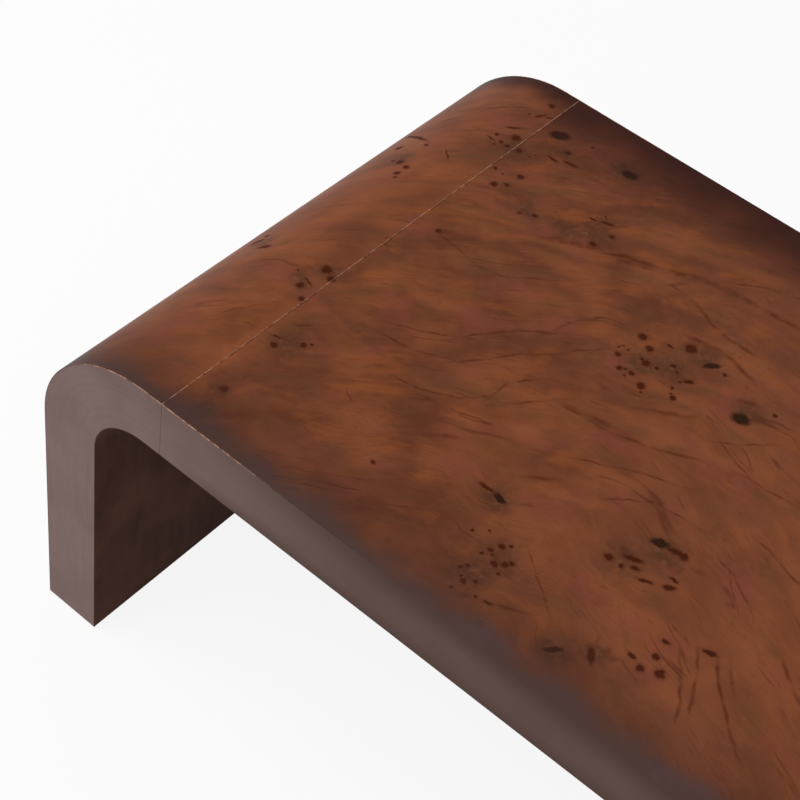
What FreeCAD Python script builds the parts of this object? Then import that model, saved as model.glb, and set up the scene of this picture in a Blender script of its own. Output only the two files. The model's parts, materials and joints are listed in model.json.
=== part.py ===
# Waterfall coffee table. Two bent end units, each a leg that curves over into
# the top, butt against a flat top panel. Every unit is a hollow frame of ribs
# and rails between two skins, veneered all round. Studs, nuts and dowels hold
# the units together at the two seams, and each leg stands on two glides.
#
# Millimetres. X runs along the table, Y from the front to the back, Z up.
# The origin lies on the floor under the middle of the top.
import FreeCAD, Part
import os
import re

import Sketcher
from FreeCAD import Placement, Rotation, Vector

SIZES = {
    # the whole table
    "table_length": 1200,
    "table_depth": 600,
    "table_height": 406,
    "panel_thickness": 64,
    "inner_bend_radius": 58,
    # straight run of the end unit between its bend and the seam
    "seam_run": 19,
    "seam_gap": 0.3,
    # layers, from the outside in
    "veneer_thickness": 0.6,
    "edge_band_thickness": 1.0,
    "skin_thickness": 6,
    # frames between the skins
    "rib_thickness": 18,
    "leg_rib_count": 2,
    "top_rib_count": 4,
    "stile_width": 40,
    "end_rail_width": 80,
    "head_rail_width": 45,
    "foot_rail_height": 40,
    # stud joints in round pockets, reached through a long hatch beside each seam
    "stud_diameter": 8,
    "stud_engagement": 18,
    "stud_tail": 3,
    "stud_hole_clearance": 1,
    "thread_clearance": 0.1,
    "pocket_diameter": 35,
    "pocket_setback": 48,
    "pocket_headroom": 14,
    "hatch_width": 40,
    "cap_overlap": 6,
    "cap_thickness": 1.2,
    "washer_thickness": 6,
    "washer_height": 20,
    "washer_clearance": 0.2,
    "nut_width": 13,
    "nut_height": 6.5,
    "insert_diameter": 12,
    "insert_length": 20,
    "insert_clearance": 0.1,
    # dowels between the studs
    "dowel_count": 2,
    "dowel_diameter": 10,
    "dowel_length": 40,
    "dowel_clearance": 0.1,
    "dowel_end_room": 1,
    # glides under the legs, each on a screw that turns into the foot rail
    "glide_diameter": 30,
    "glide_height": 3,
    "glide_inset": 45,
    "screw_diameter": 6,
    "screw_length": 20,
    "screw_clearance": 0.1,
}

# Formulas made from the sizes. Offsets count inwards from the outer face.
OUTER_RADIUS = "(inner_bend_radius + panel_thickness)"
SEAM_X = f"(table_length / 2 - {OUTER_RADIUS} - seam_run)"
PANEL_X = f"({SEAM_X} - seam_gap)"
JOINT_Z = "(table_height - panel_thickness / 2)"
UNDERSIDE_Z = "(table_height - panel_thickness)"
FRAME_DEPTH = "(table_depth - 2 * edge_band_thickness)"
SKIN_OUTER = "veneer_thickness"
CORE_OUTER = "(veneer_thickness + skin_thickness)"
CORE_INNER = "(panel_thickness - veneer_thickness - skin_thickness)"
SKIN_INNER = "(panel_thickness - veneer_thickness)"
CORE_HEIGHT = f"({CORE_INNER} - {CORE_OUTER})"
LEG_RAIL_LENGTH = f"({FRAME_DEPTH} - 2 * rib_thickness)"
TOP_RAIL_LENGTH = f"({FRAME_DEPTH} - 2 * stile_width)"
LEG_RIB_PITCH = f"(({FRAME_DEPTH} - rib_thickness) / (leg_rib_count + 1))"
TOP_RIB_PITCH = f"((2 * ({PANEL_X} - end_rail_width) + rib_thickness) / (top_rib_count + 1))"

# Along each seam, dowels stand in a row between two studs, in lanes of even width.
LANE_PITCH = f"({TOP_RAIL_LENGTH} / (dowel_count + 2))"
STUD_PITCH = f"((dowel_count + 1) * {LANE_PITCH})"
STUD_ROW = ("2", STUD_PITCH)
DOWEL_ROW = ("dowel_count", LANE_PITCH)
POCKET_X = f"({PANEL_X} - pocket_setback)"
WASHER_FLAT_X = f"({POCKET_X} + pocket_diameter / 2 - washer_thickness)"
NUT_X = f"({WASHER_FLAT_X} - nut_height)"
DOWEL_X = f"({SEAM_X} - seam_gap / 2 - dowel_length / 2)"


def formula(text):
    """Point each size in a formula at its cell in the sheet."""
    return re.sub("|".join(sorted(SIZES, key=len, reverse=True)),
                  lambda size: f"dims.{size.group()}", text)


doc = FreeCAD.newDocument("waterfall_table")
sheet = doc.addObject("Spreadsheet::Sheet", "dims")
for row, (alias, number) in enumerate(SIZES.items(), start=1):
    sheet.set(f"A{row}", alias)
    sheet.set(f"B{row}", str(number))
    sheet.setAlias(f"B{row}", alias)
doc.recompute()

subparts = []


def amount(text):
    """The number that a formula gives with the sheet as it is."""
    return float(sheet.evalExpression(formula(text)))


def bind(thing, **formulas):
    """Bind properties to formulas; an underscore pair stands for a dot."""
    for name, text in formulas.items():
        thing.setExpression(name.replace("__", "."), formula(text))


def keep(thing, label):
    """Hand in a finished object as the sub-part with this name."""
    thing.Label = label
    subparts.append(thing)
    return thing


def new_body(name):
    return doc.addObject("PartDesign::Body", name)


def origin_feature(body, role):
    for feature in body.Origin.OriginFeatures:
        if feature.Role == role:
            return feature
    raise ValueError(role)


def new_sketch(body, name, plane):
    sketch = body.newObject("Sketcher::SketchObject", f"{body.Name}_{name}")
    sketch.AttachmentSupport = [(origin_feature(body, plane), "")]
    sketch.MapMode = "FlatFace"
    return sketch


def set_size(sketch, name, text, kind, *places):
    """Add one dimension to a sketch and bind it to its formula."""
    index = sketch.addConstraint(Sketcher.Constraint(kind, *places, amount(text)))
    sketch.renameConstraint(index, name)
    sketch.setExpression(f"Constraints.{name}", formula(text))


def outline(sketch, corners):
    """Draw a closed outline of straight lines through corners given as formulas."""
    points = [Vector(amount(across), amount(along), 0) for across, along in corners]
    for number, point in enumerate(points):
        sketch.addGeometry(Part.LineSegment(point, points[(number + 1) % len(points)]))
    for number, (across, along) in enumerate(corners):
        previous = (number - 1) % len(corners)
        sketch.addConstraint(Sketcher.Constraint("Coincident", previous, 2, number, 1))
        if across == "0":
            sketch.addConstraint(Sketcher.Constraint("PointOnObject", number, 1, -2))
        else:
            set_size(sketch, f"across_{number}", across, "DistanceX", -1, 1, number, 1)
        if along == "0":
            sketch.addConstraint(Sketcher.Constraint("PointOnObject", number, 1, -1))
        else:
            set_size(sketch, f"along_{number}", along, "DistanceY", -1, 1, number, 1)


def pad(body, sketch, length, both_ways=False):
    feature = body.newObject("PartDesign::Pad", f"{body.Name}_pad")
    feature.Profile = sketch
    if both_ways:
        feature.SideType = "Symmetric"
    bind(feature, Length=length)
    sketch.Visibility = False
    return feature


def revolve(body, sketch, axis):
    feature = body.newObject("PartDesign::Revolution", f"{body.Name}_turned")
    feature.Profile = sketch
    feature.ReferenceAxis = (origin_feature(body, axis), [""])
    feature.Angle = 360
    return feature


def row_along(body, original, axis, count, pitch):
    """Repeat a feature in a row, one copy per pitch."""
    feature = body.newObject("PartDesign::LinearPattern", f"{body.Name}_row_{axis}")
    feature.Direction = (origin_feature(body, axis), [""])
    feature.Mode = "Spacing"
    bind(feature, Occurrences=count, Offset=pitch)
    if original:
        feature.Originals = [original]
    else:
        feature.TransformMode = "Whole shape"
    body.Tip = feature


def row_of_all(body, axis, count, pitch):
    """Repeat all that a body holds so far in a row."""
    doc.recompute()
    row_along(body, None, axis, count, pitch)


def both_seams(body):
    """Mirror all that a body holds from the right seam to the left one."""
    doc.recompute()
    feature = body.newObject("PartDesign::Mirrored", f"{body.Name}_mirrored")
    feature.TransformMode = "Whole shape"
    feature.MirrorPlane = (origin_feature(body, "YZ_Plane"), [""])
    body.Tip = feature


def block(name, size, low):
    """A box with its size and its low corner given as formulas."""
    box = doc.addObject("Part::Box", name)
    bind(box, Length=size[0], Width=size[1], Height=size[2],
         Placement__Base__x=low[0], Placement__Base__y=low[1], Placement__Base__z=low[2])
    return box


def cut(name, base, *tools):
    """Take each tool away from the base in turn."""
    result = base
    for number, tool in enumerate(tools):
        step = doc.addObject("Part::Cut", f"{name}_cut_{number}")
        step.Base = result
        step.Tool = tool
        result = step
    return result


def bent_band(name, outer, inner, width, middle_y="0", turn=0, copies=None):
    """One layer of an end unit: leg, bend and run to the seam between two offsets.

    The layer is drawn for the right end and extruded evenly to both sides of
    middle_y. Turned half round, it serves the left end. With copies, a row of
    such layers stands side by side at that count and pitch.
    """
    body = new_body(name)
    sketch = new_sketch(body, "profile", "XZ_Plane")
    half_length = amount("table_length / 2")
    top = amount("table_height")
    radius = amount(OUTER_RADIUS)
    foot = amount("glide_height")
    seam = amount(SEAM_X)
    outside, inside = amount(outer), amount(inner)
    centre = Vector(half_length - radius, top - radius, 0)
    upwards = Vector(0, 0, 1)

    def line(start, end):
        sketch.addGeometry(Part.LineSegment(Vector(*start, 0), Vector(*end, 0)))

    def bend(offset):
        circle = Part.Circle(centre, upwards, radius - offset)
        sketch.addGeometry(Part.ArcOfCircle(circle, 0, 1.5707963))

    line((half_length - outside, foot), (half_length - outside, centre.y))
    bend(outside)
    line((centre.x, top - outside), (seam, top - outside))
    line((seam, top - outside), (seam, top - inside))
    line((seam, top - inside), (centre.x, top - inside))
    bend(inside)
    line((half_length - inside, centre.y), (half_length - inside, foot))
    line((half_length - inside, foot), (half_length - outside, foot))

    leg_out, bend_out, run_out, seam_end, run_in, bend_in, leg_in, foot_end = range(8)
    start, end, middle = 1, 2, 3
    for kind, *places in (
            ("Tangent", leg_out, end, bend_out, start),
            ("Tangent", bend_out, end, run_out, start),
            ("Coincident", run_out, end, seam_end, start),
            ("Coincident", seam_end, end, run_in, start),
            ("Tangent", run_in, end, bend_in, end),
            ("Tangent", bend_in, start, leg_in, start),
            ("Coincident", leg_in, end, foot_end, start),
            ("Coincident", foot_end, end, leg_out, start),
            ("Coincident", bend_out, middle, bend_in, middle),
            ("Vertical", leg_out), ("Vertical", leg_in), ("Vertical", seam_end),
            ("Horizontal", run_out), ("Horizontal", run_in), ("Horizontal", foot_end)):
        sketch.addConstraint(Sketcher.Constraint(kind, *places))
    set_size(sketch, "outer_bend", f"{OUTER_RADIUS} - {outer}", "Radius", bend_out)
    set_size(sketch, "inner_bend", f"{OUTER_RADIUS} - {inner}", "Radius", bend_in)
    set_size(sketch, "leg_face", f"table_length / 2 - {outer}", "DistanceX", -1, 1, leg_out, start)
    set_size(sketch, "top_face", f"table_height - {outer}", "DistanceY", -1, 1, run_out, end)
    set_size(sketch, "seam_face", SEAM_X, "DistanceX", -1, 1, seam_end, start)
    set_size(sketch, "foot_face", "glide_height", "DistanceY", -1, 1, leg_out, start)

    layer = pad(body, sketch, width, both_ways=True)
    if copies:
        row_along(body, layer, "Y_Axis", *copies)
    body.Placement = Placement(Vector(), Rotation(Vector(0, 0, 1), turn))
    bind(body, Placement__Base__y=middle_y)
    return body


def turned_row(name, profile, count, pitch):
    """Turned pieces that lie along X, in a row about the middle of each seam.

    The profile gives distances from the middle of the table and radii.
    """
    body = new_body(name)
    sketch = new_sketch(body, "profile", "XZ_Plane")
    outline(sketch, profile)
    piece = revolve(body, sketch, "X_Axis")
    row_along(body, piece, "Y_Axis", count, pitch)
    both_seams(body)
    bind(body, Placement__Base__y=f"-({count} - 1) / 2 * {pitch}", Placement__Base__z=JOINT_Z)
    return body


def seam_strips(name, width, length, low, high):
    """A long strip under the pockets of each seam, between two heights."""
    body = new_body(name)
    sketch = new_sketch(body, "profile", "XZ_Plane")
    near, far = f"{POCKET_X} - {width} / 2", f"{POCKET_X} + {width} / 2"
    outline(sketch, [(near, low), (far, low), (far, high), (near, high)])
    pad(body, sketch, length, both_ways=True)
    both_seams(body)
    return body


def upright_pieces(name, profile, pitch_x, count_y, pitch_y):
    """Pieces turned about upright axes, on a grid of two columns about the middle.

    The profile gives radii and heights above the floor.
    """
    body = new_body(name)
    sketch = new_sketch(body, "profile", "XZ_Plane")
    outline(sketch, profile)
    piece = revolve(body, sketch, "Z_Axis")
    row_along(body, piece, "Y_Axis", count_y, pitch_y)
    row_of_all(body, "X_Axis", "2", pitch_x)
    bind(body, Placement__Base__x=f"-{pitch_x} / 2",
         Placement__Base__y=f"-({count_y} - 1) / 2 * {pitch_y}")
    return body


POCKET_GRID = (f"(2 * {POCKET_X})", *STUD_ROW)
GLIDE_GRID = ("(table_length - panel_thickness)", "2", "(table_depth - 2 * glide_inset)")
HATCH_LENGTH = f"({STUD_PITCH} + hatch_width)"


def bar(start, end, radius):
    """Half profile of a round bar, for turning about X."""
    return [(start, "0"), (start, radius), (end, radius), (end, "0")]


def upright_bar(low, high, radius):
    """Half profile of a round bar, for turning about Z."""
    return [("0", low), (radius, low), (radius, high), ("0", high)]


# Bores, shared by every piece that they run through
dowel_bores = turned_row(
    "dowel_bores",
    bar(f"{DOWEL_X} - dowel_end_room", f"{DOWEL_X} + dowel_length + dowel_end_room",
        "dowel_diameter / 2 + dowel_clearance"),
    *DOWEL_ROW)
stud_bores = turned_row(
    "stud_bores",
    bar(POCKET_X, SEAM_X, "stud_diameter / 2 + stud_hole_clearance / 2"),
    *STUD_ROW)
insert_bores = turned_row(
    "insert_bores",
    bar(SEAM_X, f"{SEAM_X} + insert_length", "insert_diameter / 2 + insert_clearance"),
    *STUD_ROW)

# A round pocket for each nut and washer, in the rail above the hatch
POCKET_Z = f"(table_height - {CORE_INNER})"
pocket_bores = upright_pieces(
    "pocket_bores",
    upright_bar(POCKET_Z, f"{JOINT_Z} + pocket_headroom", "pocket_diameter / 2"),
    *POCKET_GRID)
hatches = seam_strips("hatches", "hatch_width", HATCH_LENGTH, UNDERSIDE_Z, POCKET_Z)

SCREW_TIP_Z = "(glide_height + screw_length)"
pilot_bores = upright_pieces(
    "pilot_bores",
    upright_bar("glide_height", SCREW_TIP_Z, "screw_diameter / 2 + screw_clearance"),
    *GLIDE_GRID)


def end_unit(side, turn):
    """All the pieces of one end: leg and bend, up to the seam."""
    spin = Placement(Vector(), Rotation(Vector(0, 0, 1), turn))

    def layer(name, outer, inner, width, middle_y="0"):
        node = f"{side}_{name}"
        keep(bent_band(node, outer, inner, width, middle_y, turn), node)

    layer("outer_veneer", "0", SKIN_OUTER, "table_depth")
    layer("inner_veneer", SKIN_INNER, "panel_thickness", "table_depth")
    layer("outer_skin", SKIN_OUTER, CORE_OUTER, FRAME_DEPTH)
    layer("inner_skin", CORE_INNER, SKIN_INNER, FRAME_DEPTH)
    for face, sign in (("front", "-1"), ("back", "1")):
        layer(f"{face}_edge_band", SKIN_OUTER, SKIN_INNER, "edge_band_thickness",
              f"{sign} * (table_depth - edge_band_thickness) / 2")
        layer(f"{face}_rib", CORE_OUTER, CORE_INNER, "rib_thickness",
              f"{sign} * ({FRAME_DEPTH} - rib_thickness) / 2")

    # The head rail fills the core next to the seam, and takes the inserts.
    head_core = bent_band(f"{side}_head_core", CORE_OUTER, CORE_INNER, LEG_RAIL_LENGTH)
    head_zone = block(f"{side}_head_zone",
                      ("head_rail_width", "table_depth", "panel_thickness"),
                      (SEAM_X, "-table_depth / 2", UNDERSIDE_Z))
    head_blank = doc.addObject("Part::Common", f"{side}_head_blank")
    head_blank.Base = head_core
    head_blank.Tool = head_zone
    head_rail = cut(f"{side}_head_rail", head_blank, insert_bores, dowel_bores)
    head_rail.Placement = spin
    keep(head_rail, f"{side}_head_rail")

    foot_blank = block(f"{side}_foot_blank", (CORE_HEIGHT, LEG_RAIL_LENGTH, "foot_rail_height"),
                       (f"table_length / 2 - {CORE_INNER}", f"-{LEG_RAIL_LENGTH} / 2", "glide_height"))
    foot_rail = cut(f"{side}_foot_rail", foot_blank, pilot_bores)
    foot_rail.Placement = spin
    keep(foot_rail, f"{side}_foot_rail")

    # The middle ribs stand between the foot rail and the head rail.
    rib_row = bent_band(f"{side}_rib_row", CORE_OUTER, CORE_INNER, "rib_thickness",
                        f"-(leg_rib_count - 1) / 2 * {LEG_RIB_PITCH}",
                        copies=("leg_rib_count", LEG_RIB_PITCH))
    foot_zone = block(f"{side}_foot_zone", ("panel_thickness", "table_depth", "foot_rail_height"),
                      ("table_length / 2 - panel_thickness", "-table_depth / 2", "glide_height"))
    ribs = cut(f"{side}_middle_ribs", rib_row, head_zone, foot_zone)
    ribs.Placement = spin
    keep(ribs, f"{side}_middle_ribs")


def top_panel():
    """All the pieces of the flat panel between the two seams."""
    length = f"(2 * {PANEL_X})"
    full = (f"-{PANEL_X}", "-table_depth / 2")
    framed = (f"-{PANEL_X}", f"-{FRAME_DEPTH} / 2")

    keep(block("top_veneer", (length, "table_depth", "veneer_thickness"),
               (*full, "table_height - veneer_thickness")), "top_veneer")
    under_blank = block("under_blank", (length, "table_depth", "veneer_thickness"),
                        (*full, UNDERSIDE_Z))
    keep(cut("top_underside_veneer", under_blank, hatches), "top_underside_veneer")
    keep(block("top_upper_skin", (length, FRAME_DEPTH, "skin_thickness"),
               (*framed, f"table_height - {CORE_OUTER}")), "top_upper_skin")
    lower_blank = block("lower_blank", (length, FRAME_DEPTH, "skin_thickness"),
                        (*framed, f"table_height - {SKIN_INNER}"))
    keep(cut("top_lower_skin", lower_blank, hatches), "top_lower_skin")

    core_z = f"table_height - {CORE_INNER}"
    for face, band_y, stile_y in (
            ("front", "-table_depth / 2", f"-{FRAME_DEPTH} / 2"),
            ("back", f"{FRAME_DEPTH} / 2", f"{FRAME_DEPTH} / 2 - stile_width")):
        node = f"top_{face}_edge_band"
        keep(block(node, (length, "edge_band_thickness", "panel_thickness - 2 * veneer_thickness"),
                   (f"-{PANEL_X}", band_y, f"table_height - {SKIN_INNER}")), node)
        node = f"top_{face}_stile"
        keep(block(node, (length, "stile_width", CORE_HEIGHT), (f"-{PANEL_X}", stile_y, core_z)), node)

    # The end rails take the pockets, the studs and the dowels.
    for side, rail_x in (("left", f"-{PANEL_X}"), ("right", f"{PANEL_X} - end_rail_width")):
        node = f"top_{side}_end_rail"
        blank = block(f"{node}_blank", ("end_rail_width", TOP_RAIL_LENGTH, CORE_HEIGHT),
                      (rail_x, f"-{TOP_RAIL_LENGTH} / 2", core_z))
        keep(cut(node, blank, pocket_bores, stud_bores, dowel_bores), node)

    # Cross ribs share the space between the end rails evenly.
    ribs = new_body("top_cross_ribs")
    sketch = new_sketch(ribs, "profile", "XZ_Plane")
    outline(sketch, [("0", "0"), ("rib_thickness", "0"),
                     ("rib_thickness", CORE_HEIGHT), ("0", CORE_HEIGHT)])
    rib = pad(ribs, sketch, TOP_RAIL_LENGTH, both_ways=True)
    row_along(ribs, rib, "X_Axis", "top_rib_count", TOP_RIB_PITCH)
    bind(ribs, Placement__Base__z=core_z,
         Placement__Base__x=f"-(top_rib_count - 1) / 2 * {TOP_RIB_PITCH} - rib_thickness / 2")
    keep(ribs, "top_cross_ribs")


def seam_hardware():
    """Dowels, studs, inserts, half-moon washers, nuts and pocket caps of both seams."""
    keep(turned_row("seam_dowels",
                    bar(DOWEL_X, f"{DOWEL_X} + dowel_length", "dowel_diameter / 2"),
                    *DOWEL_ROW), "seam_dowels")
    keep(turned_row("seam_studs",
                    bar(f"{NUT_X} - stud_tail", f"{SEAM_X} + stud_engagement", "stud_diameter / 2"),
                    *STUD_ROW), "seam_studs")

    # A threaded insert, flush with the seam face
    thread = "stud_diameter / 2 + thread_clearance"
    insert_end = f"{SEAM_X} + insert_length"
    keep(turned_row("stud_inserts",
                    [(SEAM_X, thread), (SEAM_X, "insert_diameter / 2"),
                     (insert_end, "insert_diameter / 2"), (insert_end, thread)],
                    *STUD_ROW), "stud_inserts")

    # A half-moon washer that fills the round pocket wall and gives the nut a flat seat
    washers = new_body("washer_blanks")
    sketch = new_sketch(washers, "segment", "XY_Plane")
    radius = amount("pocket_diameter / 2 - washer_clearance")
    chord = amount(f"{WASHER_FLAT_X} - {POCKET_X}")
    half_chord = (radius ** 2 - chord ** 2) ** 0.5
    flat_x = amount(WASHER_FLAT_X)
    tip_x = amount(POCKET_X) + radius
    sketch.addGeometry(Part.Arc(Vector(flat_x, -half_chord, 0), Vector(tip_x, 0, 0),
                                Vector(flat_x, half_chord, 0)))
    sketch.addGeometry(Part.LineSegment(Vector(flat_x, half_chord, 0), Vector(flat_x, -half_chord, 0)))
    sketch.addConstraint(Sketcher.Constraint("Coincident", 0, 2, 1, 1))
    sketch.addConstraint(Sketcher.Constraint("Coincident", 1, 2, 0, 1))
    sketch.addConstraint(Sketcher.Constraint("PointOnObject", 0, 3, -1))
    sketch.addConstraint(Sketcher.Constraint("Vertical", 1))
    set_size(sketch, "pocket_place", POCKET_X, "DistanceX", -1, 1, 0, 3)
    set_size(sketch, "seat_radius", "pocket_diameter / 2 - washer_clearance", "Radius", 0)
    set_size(sketch, "flat_place", WASHER_FLAT_X, "DistanceX", -1, 1, 1, 1)
    segment = pad(washers, sketch, "washer_height", both_ways=True)
    row_along(washers, segment, "Y_Axis", *STUD_ROW)
    both_seams(washers)
    bind(washers, Placement__Base__y=f"-{STUD_PITCH} / 2", Placement__Base__z=JOINT_Z)
    keep(cut("half_moon_washers", washers, stud_bores), "half_moon_washers")

    # Hexagon nuts against the flats, with the stud's tail through them
    nuts = new_body("stud_nuts")
    sketch = new_sketch(nuts, "hexagon", "YZ_Plane")
    bind(sketch, AttachmentOffset__Base__z=NUT_X)
    corner_radius = amount("nut_width / 2") / (3 ** 0.5 / 2)
    corners = []
    for number in range(6):
        corner = Rotation(Vector(0, 0, 1), 60 * number).multVec(Vector(corner_radius, 0, 0))
        corners.append(corner)
    for number, corner in enumerate(corners):
        sketch.addGeometry(Part.LineSegment(corner, corners[(number + 1) % 6]))
    round_guide = sketch.addGeometry(Part.Circle(Vector(), Vector(0, 0, 1), corner_radius), True)
    bore = sketch.addGeometry(
        Part.Circle(Vector(), Vector(0, 0, 1), amount("stud_diameter / 2 + thread_clearance")))
    for number in range(6):
        sketch.addConstraint(Sketcher.Constraint("Coincident", number, 2, (number + 1) % 6, 1))
        sketch.addConstraint(Sketcher.Constraint("PointOnObject", number, 1, round_guide))
    for number in range(1, 6):
        sketch.addConstraint(Sketcher.Constraint("Equal", 0, number))
    sketch.addConstraint(Sketcher.Constraint("Coincident", round_guide, 3, -1, 1))
    sketch.addConstraint(Sketcher.Constraint("Coincident", bore, 3, -1, 1))
    sketch.addConstraint(Sketcher.Constraint("PointOnObject", 0, 1, -1))
    set_size(sketch, "corner_width", "nut_width / cos(30 deg)", "Diameter", round_guide)
    set_size(sketch, "bore_width", "stud_diameter + 2 * thread_clearance", "Diameter", bore)
    nut = pad(nuts, sketch, "nut_height")
    row_along(nuts, nut, "Y_Axis", *STUD_ROW)
    both_seams(nuts)
    bind(nuts, Placement__Base__y=f"-{STUD_PITCH} / 2", Placement__Base__z=JOINT_Z)
    keep(nuts, "stud_nuts")

    # A flat cap over each hatch, against the underside
    keep(seam_strips("pocket_caps", "(hatch_width + 2 * cap_overlap)",
                     f"({HATCH_LENGTH} + 2 * cap_overlap)",
                     f"{UNDERSIDE_Z} - cap_thickness", UNDERSIDE_Z), "pocket_caps")


def feet():
    """Four round glides and the screws that they are moulded on."""
    keep(upright_pieces("floor_glides", upright_bar("0", "glide_height", "glide_diameter / 2"),
                        *GLIDE_GRID), "floor_glides")
    keep(upright_pieces("glide_screws", upright_bar("glide_height", SCREW_TIP_Z, "screw_diameter / 2"),
                        *GLIDE_GRID), "glide_screws")


top_panel()
end_unit("right", 0)
end_unit("left", 180)
seam_hardware()
feet()
doc.recompute()

for thing in doc.Objects:
    if "Invalid" in thing.State or "Error" in thing.State:
        raise RuntimeError(f"{thing.Name} failed: {thing.getStatusString()}")
for thing in subparts:
    if thing.Shape.isNull() or not thing.Shape.isValid() or not thing.Shape.Solids:
        raise RuntimeError(f"{thing.Label} has no sound shape")

os.makedirs("parts", exist_ok=True)
for thing in subparts:
    thing.Shape.exportStep(f"parts/{thing.Label}.step")
    print(thing.Label, len(thing.Shape.Solids), "solids", round(thing.Shape.Volume), "cubic mm")
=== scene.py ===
# Looks of the waterfall coffee table: burl veneer on the top and over the bends,
# toned edge bands, dark inner veneer, and plain board, wood, metal and plastic
# where the frame and its hardware show. Metres, in the frame of the solids.
import json
import math

import bpy
from mathutils import Color, Matrix, Vector


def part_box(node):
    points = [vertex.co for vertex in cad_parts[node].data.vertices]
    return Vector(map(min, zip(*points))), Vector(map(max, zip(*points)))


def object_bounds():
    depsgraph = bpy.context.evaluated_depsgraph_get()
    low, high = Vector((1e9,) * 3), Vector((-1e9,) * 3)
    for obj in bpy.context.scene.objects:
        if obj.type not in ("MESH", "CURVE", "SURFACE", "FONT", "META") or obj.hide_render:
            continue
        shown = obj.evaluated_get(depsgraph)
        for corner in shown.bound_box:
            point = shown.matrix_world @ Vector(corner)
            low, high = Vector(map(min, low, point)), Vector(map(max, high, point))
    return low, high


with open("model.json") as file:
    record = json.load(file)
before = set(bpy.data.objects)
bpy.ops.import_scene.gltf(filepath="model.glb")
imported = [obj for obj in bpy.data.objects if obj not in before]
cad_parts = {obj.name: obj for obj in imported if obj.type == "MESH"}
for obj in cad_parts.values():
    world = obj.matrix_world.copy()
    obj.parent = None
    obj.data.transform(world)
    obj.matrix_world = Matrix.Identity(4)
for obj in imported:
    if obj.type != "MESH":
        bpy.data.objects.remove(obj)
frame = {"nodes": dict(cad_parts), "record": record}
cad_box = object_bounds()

# Table sizes that the materials follow: half the length and depth, the top, the seam and the bends
HALF_LENGTH = cad_box[1][0]
HALF_DEPTH = cad_box[1][1]
TOP = cad_box[1][2]
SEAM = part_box("right_outer_veneer")[0][0]
OUTER_RADIUS = 0.122
BEND_X = HALF_LENGTH - OUTER_RADIUS
BEND_Z = TOP - OUTER_RADIUS

# Camera, from the photograph's edges. Angles in degrees, place in metres.
AZIMUTH = 30.769
ELEVATION = 47.487
ROLL = 11.710
FOCAL_PIXELS = 1670.9
PHOTO_PIXELS = 800
CAMERA_PLACE = Vector((0.1569, -0.9649, 1.4364))

# Burl figure. Places are read off the photograph, in its pixels; radii and
# widths are in millimetres on the veneer.
EYES = (
    # place and radius, on the left bend
    (399, 148, 3.6), (426, 145, 2.2), (400, 162, 3.4), (406, 167, 3.0), (397, 173, 2.6),
    (395, 177, 1.7), (393, 161, 1.8), (267, 236, 2.4), (300, 285, 3.2), (302, 299, 3.0),
    (327, 270, 4.2), (331, 279, 3.4), (298, 270, 1.0),
    # along the seam at the back
    (497, 134, 2.0), (516, 138, 4.4), (507, 146, 2.4), (494, 144, 1.3), (501, 142, 1.8),
    (529, 114, 1.2), (552, 106, 3.0), (519, 151, 3.0), (495, 168, 2.1), (494, 184, 3.2),
    (507, 185, 2.6), (521, 177, 3.0), (503, 174, 1.0), (530, 157, 1.0), (535, 155, 1.1),
    (568, 153, 2.8), (593, 148, 1.2), (438, 231, 2.6),
    # back half of the top
    (519, 213, 1.6), (535, 216, 2.2), (612, 237, 2.8), (593, 244, 3.2), (597, 217, 0.8),
    (606, 217, 0.8),
    # the large group on the right
    (618, 354, 2.6), (619, 347, 1.1), (623, 346, 1.0), (628, 350, 1.2), (619, 368, 2.6),
    (625, 369, 1.6), (631, 373, 2.4), (643, 337, 3.8), (650, 349, 3.4), (646, 363, 3.5),
    (641, 386, 3.5), (673, 366, 2.4), (691, 349, 5.0), (680, 382, 1.3), (672, 388, 1.5),
    (673, 398, 2.4), (725, 375, 1.6), (775, 416, 1.8), (624, 375, 1.2), (657, 368, 1.6),
    (677, 373, 1.6), (671, 394, 1.1), (641, 392, 1.0), (642, 359, 1.7),
    # front half of the top
    (472, 530, 1.2), (490, 531, 1.2), (491, 550, 2.2), (502, 547, 2.6), (511, 547, 1.6),
    (460, 567, 1.8), (468, 565, 1.8), (494, 564, 3.0), (505, 565, 2.6), (512, 564, 2.2),
    (464, 581, 2.0), (476, 582, 1.6), (609, 557, 3.3), (621, 566, 2.1), (684, 557, 3.1),
    (640, 668, 3.0), (656, 657, 2.8), (660, 674, 4.0), (274, 345, 3.0), (303, 345, 2.3),
    (224, 389, 3.2), (373, 462, 1.6), (312, 345, 1.4), (481, 553, 1.3), (492, 555, 1.1),
    (498, 574, 1.3), (461, 576, 1.1), (451, 587, 1.5), (476, 597, 1.3),
)
DASHES = (
    # from, to, half width
    (507, 127, 519, 129, 1.4), (488, 136, 494, 140, 1.2), (536, 117, 546, 115, 1.2),
    (546, 118, 553, 118, 1.0), (548, 156, 557, 162, 1.9), (564, 161, 577, 167, 1.9),
    (407, 137, 425, 140, 1.9), (446, 150, 448, 159, 0.7), (252, 244, 263, 240, 2.6),
    (590, 218, 597, 221, 1.1), (602, 222, 614, 226, 1.4), (684, 381, 694, 383, 1.7),
    (667, 344, 673, 348, 1.1), (484, 601, 492, 605, 1.4), (624, 556, 642, 562, 2.6),
    (631, 567, 640, 570, 1.8), (668, 549, 684, 555, 2.6), (638, 579, 652, 583, 1.7),
    (663, 587, 675, 589, 2.6), (670, 577, 678, 583, 1.2), (628, 652, 635, 659, 1.9),
    (662, 640, 670, 644, 1.7), (703, 650, 717, 656, 1.8), (591, 648, 591, 663, 2.4),
    (272, 335, 281, 338, 1.1), (305, 278, 311, 285, 0.9), (480, 483, 494, 491, 1.6),
    (258, 248, 270, 246, 2.2),
)
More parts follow.
